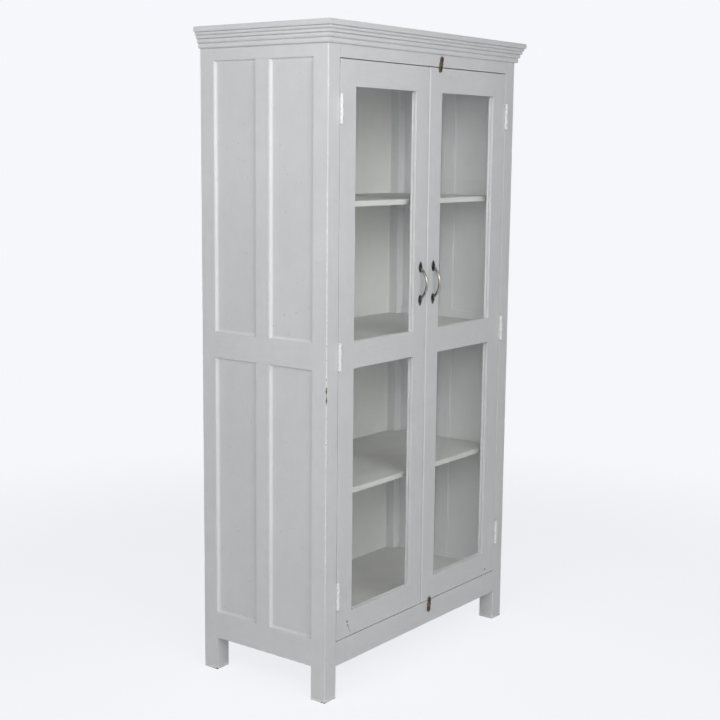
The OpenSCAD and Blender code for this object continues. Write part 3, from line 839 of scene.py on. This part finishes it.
def stile(door, which, seed, tone):
    """A door's upright.

    Its outline has a lip at the front and a rebate behind it beside each opening, and none
    beside the rails. The opening's edge is eased only beside the openings.
    """
    node = f"{door}_{which}_stile"
    low, high = mirrored_box(node, door)
    front, lip, back, rebate = front_back(door)
    glass_side = 1 if which == "meeting" else -1
    inner, outer = (low[ACROSS], high[ACROSS]) if glass_side > 0 else (high[ACROSS], low[ACROSS])
    chamfer = 3 * MM if which == "meeting" else 0
    cuts = np.array([z + way * rebate for pair in windows(door) for z, way in zip(pair, (-1, 1))])
    ramps = np.array([z + k * RAMP for pair in windows(door) for z in pair for k in (-1, 0, 1)])
    even = np.linspace(low[UP], high[UP], int((high[UP] - low[UP]) / STATION))
    along = np.sort(np.concatenate([even, ramps, cuts - CUT_STEP, cuts + CUT_STEP]))
    count = len(along)
    cut = np.zeros(count)
    beside = np.zeros(count)
    for z0, z1 in windows(door):
        cut += rebate * ((along > z0 - rebate) & (along < z1 + rebate))
        beside += np.clip((along - z0) / RAMP, 0, 1) * np.clip((z1 - along) / RAMP, 0, 1)

    def column(a, b):
        return np.stack([np.broadcast_to(a, (count,)), np.broadcast_to(b, (count,))], axis=-1)

    g = glass_side
    corners = [
        column(inner + g * chamfer, front),
        column(outer, front),
        column(outer, lip),
        column(outer - g * cut, lip),
        column(outer - g * cut, back),
        column(outer - g * rebate, back),
        column(inner, back),
    ]
    sides = [(0, -1), (g, 0), (0, 1), (g, 0), (0, 1), (0, 1), (-g, 0)]
    radii = [1.0, 0, 0, 0, 0, 0, 0.8]
    wear = [0.55, 0.4, 0, 0, 0, 0, 0.2]
    if chamfer:
        corners.append(column(inner, front + chamfer))
        sides.append((-math.sqrt(0.5) * g, -math.sqrt(0.5)))
        radii.append(1.0)
        wear.append(0.5)
    shoulder = np.full(len(corners), SHOULDER)
    shoulder[[2, 4]] = 0  # each of these two sides shrinks to nothing along part of the board
    corners = np.stack(corners, axis=1)
    sides, radii, wear = np.array(sides, float), np.array(radii), np.array(wear)
    radii = np.broadcast_to(radii * MM, (count, len(radii))).copy()
    slow, chips = edge_waves(along, seed, seed + 9)
    radii *= 1 + (wear * (SLOW_WAVE * slow + KNOCK * chips)[:, None])
    radii[:, 1] = (0.3 + (0.4 + 0.2 * slow) * beside) * MM
    wear = np.broadcast_to(wear, radii.shape).copy()
    wear[:, 1] *= beside
    if g < 0:
        corners, sides = corners[:, ::-1], np.roll(sides[::-1], -1, axis=0)
        radii, wear, shoulder = radii[:, ::-1], wear[:, ::-1], np.roll(shoulder[::-1], -1)
    return door_board(door, node, UP, along, corners, sides, radii, wear, chips, shoulder, tone)


def door_rail(door, which, seed, tone):
    """A door's crossing board.

    Its outline has a lip at the front and a rebate behind it at each edge that borders an
    opening, with the opening's front edge eased.
    """
    node = f"{door}_door_{which}_rail"
    low, high = mirrored_box(node, door)
    front, lip, back, rebate = front_back(door)
    under = rebate if which != "bottom" else 0
    over = rebate if which != "top" else 0
    z0, z1 = low[UP], high[UP]
    corners = np.array(
        [
            [front, z0], [lip, z0], [lip, z0 + under], [back, z0 + under],
            [back, z1 - over], [lip, z1 - over], [lip, z1], [front, z1],
        ]
    )
    sides = np.array([[0, -1], [1, 0], [0, -1], [1, 0], [0, 1], [1, 0], [0, 1], [-1, 0]], float)
    along = np.linspace(low[ACROSS], high[ACROSS], int((high[ACROSS] - low[ACROSS]) / STATION))
    slow, chips = edge_waves(along, seed, seed + 9)
    wear = np.array([0.4, 0, 0, 0, 0, 0, 0, 0.4])
    radii = np.array([0.7 if under else 0.5, 0, 0, 0, 0, 0, 0, 0.7 if over else 0.5]) * MM
    radii = radii * (1 + wear * (SLOW_WAVE * slow + KNOCK * chips)[:, None])
    wear = np.broadcast_to(wear, radii.shape)
    corners = np.broadcast_to(corners, (*radii.shape, 2))
    return door_board(door, node, ACROSS, along, corners, sides, radii, wear, chips, SHOULDER, tone)


def beads(door):
    """The strips that hold the panes.

    An outline with a rounded inner back edge is carried round each opening with mitred corners.
    """
    node = f"{door}_glazing_beads"
    low, high = mirrored_box(node, door)
    rebate = front_back(door)[3]
    corners = rectangle(0, low[DEEP], rebate, high[DEEP])
    radii = np.array([[0.3, 0.3, 0.3, 3.0]]) * MM
    outline, ways = eased_outline(corners[None], SQUARE, radii, np.zeros(1), 0)
    left, right = low[ACROSS] + rebate, high[ACROSS] - rebate
    parts = [
        ring(((left, z0), (right, z1)), outline[0], ways[0], (ACROSS, UP), DEEP)
        for z0, z1 in windows(door)
    ]
    return on_door(door, node + "_strips", parts, crossing, node, capped=False)


# Pulls

SPEAR = np.array(
    [
        [0, 1], [0.3, 0.93], [0.52, 0.76], [0.82, 0.46], [1, 0.14], [0.96, -0.12],
        [0.78, -0.34], [0.62, -0.46], [0.56, -0.6], [0.3, -0.68],
    ]
)


FIXING = 45 * MM  # from a pull's middle to either of its fixings
BOW_DEPTH = 4 * MM  # from the bow's line to its front, in the middle
BOW_START = 1 * MM  # how far off the door the bow's line starts


def rounded_loop(corners, count):
    """A smooth closed line through its corners.

    Between two corners it is a cubic whose slope at each is half the step between that corner's
    neighbours.
    """
    at = np.arange(count) * len(corners) / count
    step = at.astype(int)
    t = (at - step)[:, None]
    p0, p1, p2, p3 = (corners[(step + k) % len(corners)] for k in (-1, 0, 1, 2))
    square, cube = 2 * p0 - 5 * p1 + 4 * p2 - p3, 3 * p1 - p0 - 3 * p2 + p3
    return 0.5 * (2 * p1 + (p2 - p0) * t + square * t**2 + cube * t**3)


def pull(door):
    """A bow pull between two spear-shaped feet.

    The bow follows part of a circle through both fixings; its outline is an ellipse that
    thins from the middle to the ends, with a collar before each foot. A foot's outline is the
    spear drawn in towards its middle, and its height falls from the middle as one less the
    square of that share, down to a thin upright rim.
    """
    node = f"{door}_handle"
    low, high = mirrored_box(node, door)
    centre = (low + high) / 2
    face = high[DEEP]
    rise = face - low[DEEP] - BOW_DEPTH
    arc = (FIXING**2 + rise**2) / (2 * rise)
    limit = math.acos((arc - rise + BOW_START) / arc)
    turn = np.linspace(-limit, limit, 71)
    middle = np.cos(turn / limit * np.pi / 2) ** 2
    collar = np.exp(-(((np.abs(turn) - limit + 0.13) / 0.026) ** 2))
    wide = (3.5 + 1.5 * middle + 1.3 * collar) * MM
    thick = (3.2 + 0.8 * middle + 1.4 * collar) * MM
    around = np.linspace(0, 2 * np.pi, 28, endpoint=False)
    outward = np.stack([0 * turn, -np.cos(turn), np.sin(turn)], axis=1)
    hub = np.array([centre[0], face + (arc - rise), centre[2]])
    line = hub + arc * outward
    bow = line[:, None] + outward[:, None] * (thick[:, None] * np.sin(around))[..., None]
    bow[..., 0] += wide[:, None] * np.cos(around)
    front = 0.35 + 0.65 * np.clip(np.sin(around), 0, 1)
    rub = (0.25 + 0.75 * middle[:, None]) * front + 0.25 * collar[:, None]
    parts = [(*free_form(bow), np.clip(rub, 0, 1))]

    reach, breadth = high[UP] - centre[UP] - FIXING, (high[ACROSS] - low[ACROSS]) / 2
    spear = np.concatenate([SPEAR, SPEAR[:0:-1] * [-1, 1]]) * [breadth, reach]
    spear = rounded_loop(spear, 84)
    spear[:, 0] *= breadth / np.abs(spear[:, 0]).max()
    heart = np.array([0, 0.1 * reach])
    share = np.array([0, 0.2, 0.4, 0.58, 0.74, 0.86, 0.94, 0.985, 1, 1, 0.5, 0])
    height = 1.1 + 1.35 * (1 - share**2)
    height[-4:] = (0.75, 0, 0, 0)
    edge_rub = 0.35 * np.exp(-(((share - 0.9) / 0.08) ** 2))
    for way in (1, -1):
        foot = np.empty((len(share), len(spear), 3))
        outline = heart + share[:, None, None] * (spear - heart)
        foot[..., ACROSS] = centre[ACROSS] + outline[..., 0]
        foot[..., UP] = centre[UP] + way * (FIXING + outline[..., 1])
        foot[..., DEEP] = face - height[:, None] * MM
        rubbed = np.broadcast_to(edge_rub[:, None], foot.shape[:2])
        parts.append((*free_form(foot), rubbed))
    return on_door(door, f"{door}_pull", parts, pewter, node)


# Turn buttons


def turn_button(node):
    """A turn button: a bar with round ends, a boss round its bore, and eased edges.

    In each direction from the pivot its outline lies at the edge of the bar, or at the boss
    where that is further. Rings go out from the bore over the boss, step down to the bar,
    round over the edge and come back underneath to the bore.
    """
    low, high = corners_of(node)
    centre = (low + high) / 2
    bore, boss, half_width, straight = 2.26, 7.6, 6.5, 16.5
    thick, boss_thick, edge = 3.5, 4.8, 0.9
    lean = math.acos(((high[UP] - low[UP]) / 2 / MM - half_width) / straight)
    angle = np.linspace(0, 2 * np.pi, 96, endpoint=False)
    along, aside = np.abs(np.cos(angle)), np.abs(np.sin(angle))
    end = straight * along + np.sqrt(np.clip(half_width**2 - (straight * aside) ** 2, 0, None))
    side = half_width / np.maximum(aside, 1e-9)
    bar = np.where(side * along <= straight, side, end)
    rim = np.maximum(bar, boss)

    quarter = np.linspace(0, np.pi / 2, 5)
    inner = np.array([bore, bore + 0.4, 4.2, 5.6, 6.4, 6.9, 7.2])[:, None] + 0 * angle
    inner = np.minimum(inner, (rim - edge)[None])
    level = boss_thick - np.array([0.4, 0, 0, 0.1, 0.35, 0, 0])
    level[-2:] = (thick + 0.45, thick)
    spread = np.array([0.15, 0.4, 0.7, 1.0])[:, None]
    outer = inner[-1] * (1 - spread) + (rim - edge) * spread
    over = (rim - edge) + edge * np.sin(quarter[1:, None])
    base = np.stack([rim, rim - 0.3, np.full_like(rim, bore)])
    radius = np.concatenate([inner, outer, over, base, inner[:1]])
    fall = thick - edge * (1 - np.cos(quarter[1:]))
    height = np.concatenate([level, np.full(4, thick), fall, [0.3, 0, 0], level[:1]])
    height = np.broadcast_to(height[:, None], radius.shape).copy()
    boss_edge = (rim <= boss + 1e-6)[None] & (height > thick - edge)
    height = np.where(boss_edge & (radius > 6.9), np.minimum(height, thick + 0.2), height)
    points = np.empty((*radius.shape, 3))
    x, z = radius * np.sin(angle + lean), radius * np.cos(angle + lean)
    points[..., 0] = centre[0] + x * MM
    points[..., 2] = centre[2] + z * MM
    points[..., 1] = high[DEEP] - height * MM
    share = radius / rim
    rub = 0.45 * np.clip(share - 0.8, 0, 0.2) / 0.2 * (height > 1)
    rub += 0.5 * np.exp(-(((radius - 5.9) / 0.7) ** 2))
    part = (*free_form(points), np.clip(rub, 0, 1))
    return skin(node + "_bar", [part], node, brass, [node], capped=False)


def pivot_screws():
    """The turn buttons' screws: a neck, and a round head cut by a slot.

    The head is a cap of a ball. Its rows run along the slot, half chords of the head's circle,
    over the cap and back underneath, and between the slot's walls the cap is cut down level.
    """
    low = corners_of("turn_button_screws")[0]
    head, dome, floor, slot_half, neck = 4.18, 2.4, 1.25, 0.55, 2.2
    ball = (head**2 + dome**2) / (2 * dome)
    across = head * np.sin(np.linspace(-np.pi / 2, np.pi / 2, 17))
    across = across[np.abs(across) > slot_half + 0.1]
    across = np.sort(np.concatenate([across, [-slot_half, slot_half] * 2]))
    cut = np.zeros(len(across), bool)
    inside = np.flatnonzero(np.abs(np.abs(across) - slot_half) < 1e-9)
    cut[inside[1:3]] = True
    chord = np.sqrt(np.clip(head**2 - across**2, 0, None))
    sweep = np.cos(np.linspace(0, np.pi, 15))
    run = np.concatenate([chord[:, None] * sweep, chord[:, None] * sweep[::-1]], axis=1)
    off = across[:, None] ** 2 + (chord[:, None] * sweep) ** 2
    top = np.sqrt(np.clip(ball**2 - off, 0, None)) - (ball - dome)
    top = np.where(cut[:, None], np.minimum(top, floor), top)
    height = np.concatenate([np.clip(top, 0, None), np.zeros_like(top)], axis=1)
    parts = []
    for node, lay in (("top_turn_button", 0.5), ("bottom_turn_button", -0.9)):
        button_low, button_high = corners_of(node)
        pivot = (button_low + button_high) / 2
        seat = low[DEEP] + dome * MM
        points = np.empty((*run.shape, 3))
        points[..., 0] = pivot[0] + (across[:, None] * math.cos(lay) - run * math.sin(lay)) * MM
        points[..., 2] = pivot[2] + (across[:, None] * math.sin(lay) + run * math.cos(lay)) * MM
        points[..., 1] = seat - height * MM
        parts.append((*free_form(points), np.clip(height / dome, 0, 1) * 0.5))
        angle = np.linspace(0, 2 * np.pi, 32, endpoint=False)
        rows = np.array([seat - 0.3 * MM, seat + 3 * MM, seat + 9 * MM])
        shank = np.empty((3, 32, 3))
        shank[..., 0] = pivot[0] + neck * MM * np.cos(angle)
        shank[..., 2] = pivot[2] + neck * MM * np.sin(angle)
        shank[..., 1] = rows[:, None]
        parts.append((*free_form(shank), np.zeros((3, 32))))
    return skin("turn_button_pivot_screws", parts, CASE, brass, ["turn_button_screws"])


for number, door in enumerate(("left", "right")):
    seed = 500 + 100 * number
    tone = 0.2 - 0.3 * number
    stile(door, "hinge", seed, tone)
    stile(door, "meeting", seed + 20, tone - 0.3)
    door_rail(door, "top", seed + 40, tone + 0.3)
    door_rail(door, "mid", seed + 50, tone - 0.1)
    door_rail(door, "bottom", seed + 60, tone - 0.4)
    beads(door)
    pull(door)
    for pane in ("upper", "lower"):
        coat(f"{door}_{pane}_glass", glass)
        nodes[f"{door}_{pane}_glass"].visible_shadow = False
    coat(f"{door}_hinge_leaves", hinge_paint)
    coat(f"{door}_hinge_screws", zinc)
    coat(f"{door}_handle_screws", zinc)

for node in ("top_turn_button", "bottom_turn_button"):
    turn_button(node)
pivot_screws()
coat("hinge_case_leaves", hinge_paint)
coat("hinge_pins", hinge_paint)
coat("hinge_case_screws", zinc)


# Room, lamps and camera


SEEN_PALE = (0.921, 0.930, 0.965, 1)  # how bright the room looks where nothing stands in it
REFLECTED = 0.6  # how much of that brightness a reflection or a look through glass finds
ROOM_LIGHT = 0.12
FLOOR_GLOW = 0.10
FLOOR_HALF = 60.0


def looked_at(tree):
    """One where a surface or the room is looked at straight, nought where it only gives light.

    It is REFLECTED where it is seen in a reflection or through glass.
    """

    def larger(one, other):
        node = tree.nodes.new("ShaderNodeMath")
        node.operation = "MAXIMUM"
        tree.links.new(one, node.inputs[0])
        tree.links.new(other, node.inputs[1])
        return node.outputs[0]

    path = tree.nodes.new("ShaderNodeLightPath").outputs
    share = tree.nodes.new("ShaderNodeMath")
    share.operation = "MULTIPLY"
    share.inputs[1].default_value = REFLECTED
    tree.links.new(larger(path["Is Glossy Ray"], path["Is Transmission Ray"]), share.inputs[0])
    return larger(path["Is Camera Ray"], share.outputs[0])


def floor_finish():
    """A pale matt floor that melts into the room.

    What is seen of it is mostly its own pale glow, so that a shadow on it stays faint, and it
    clears from 1.3 to 3 m out from its middle. What it sends up to the cabinet is an ordinary
    white floor's light.
    """
    f = Finish("pale_floor", Roughness=1.0)
    f.shader.inputs["Specular IOR Level"].default_value = 0
    seen = (looked_at(f.tree).node, "Value")
    mottle = f.noise(f.place, 1.2, 2)
    white = f.mix(mottle, (0.87, 0.87, 0.87, 1), (0.9, 0.9, 0.9, 1))
    f.set(f.shader, "Base Color", f.mix(seen, white, (0.20, 0.20, 0.20, 1)))
    f.set(f.shader, "Emission Color", f.mix(seen, (1, 1, 1, 1), SEEN_PALE))
    f.set(f.shader, "Emission Strength", f.ranged(seen, 0, 1, FLOOR_GLOW, 0.86))
    away = (f.add("ShaderNodeVectorMath", {"operation": "LENGTH"}, Vector=f.place), "Value")
    clear = f.sum("MULTIPLY", f.ranged(away, 1.3, 3.0, smooth=True), seen)
    blend = f.add("ShaderNodeMixShader")
    f.set(blend, "0", clear)
    f.set(blend, "1", (f.shader, "BSDF"))
    f.set(blend, "2", (f.add("ShaderNodeBsdfTransparent"), "BSDF"))
    f.set(f.out, "Surface", (blend, "Shader"))
    return f.material


floor_mesh = bpy.data.meshes.new("floor")
floor_corners = [(x * FLOOR_HALF, y * FLOOR_HALF, 0) for x, y in DIAGONALS.tolist()]
floor_mesh.from_pydata(floor_corners, [], [(0, 1, 2, 3)])
floor = stood("floor", floor_mesh)
floor_mesh.materials.append(floor_finish())
floor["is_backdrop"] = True


def room():
    """An even pale room all round.

    It looks SEEN_PALE, and gives the cabinet the lower light of walls that stand outside the
    lamps' reach.
    """
    world = bpy.data.worlds.new("soft_room")
    world.use_nodes = True
    tree = world.node_tree
    light = tree.nodes["Background"]
    light.inputs["Strength"].default_value = ROOM_LIGHT
    light.inputs["Color"].default_value = (0.97, 0.98, 1.0, 1)
    seen = tree.nodes.new("ShaderNodeBackground")
    seen.inputs["Color"].default_value = SEEN_PALE
    blend = tree.nodes.new("ShaderNodeMixShader")
    tree.links.new(looked_at(tree), blend.inputs[0])
    tree.links.new(light.outputs[0], blend.inputs[1])
    tree.links.new(seen.outputs[0], blend.inputs[2])
    tree.links.new(blend.outputs[0], tree.nodes["World Output"].inputs["Surface"])
    return world


bpy.context.scene.world = room()


def lamp(name, place, aim, size, power):
    """A square soft box at a place, facing a point at the height of aim over the cabinet's middle."""
    light = bpy.data.lights.new(name, "AREA")
    light.shape = "SQUARE"
    light.size = size
    light.energy = power
    box = stood(name, light)
    back = Vector(place) - Vector((0, 0, aim))
    box.matrix_world = Matrix.Translation(place) @ back.to_track_quat("Z", "Y").to_matrix().to_4x4()
    box.visible_camera = False


lamp("left_soft_box", (-3.15, -0.56, 2.6), 1.6, 1.6, 33)
lamp("corner_soft_box", (-1.94, -1.94, 2.15), 1.6, 1.4, 21)
lamp("front_soft_box", (-1.09, -3.01, 2.6), 1.6, 1.6, 30)
lamp("back_soft_box", (2.4, 3.4, 3.8), 1.2, 2.4, 20)

view = bpy.data.cameras.new("camera")
view.sensor_width = 36
view.lens = 67.12
camera = stood("camera", view)
right, up = (0.60456, -0.79650, 0.00988), (0.11635, 0.10057, 0.98810)
ahead = (0.78802, 0.59622, -0.15347)
place = (-3.193, -2.389, 1.4987)
rows = [(right[i], up[i], -ahead[i], place[i]) for i in range(3)]
camera.matrix_world = Matrix(rows + [(0, 0, 0, 1)])
bpy.context.scene.camera = camera
bpy.context.scene.view_settings.view_transform = "Standard"

low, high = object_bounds()
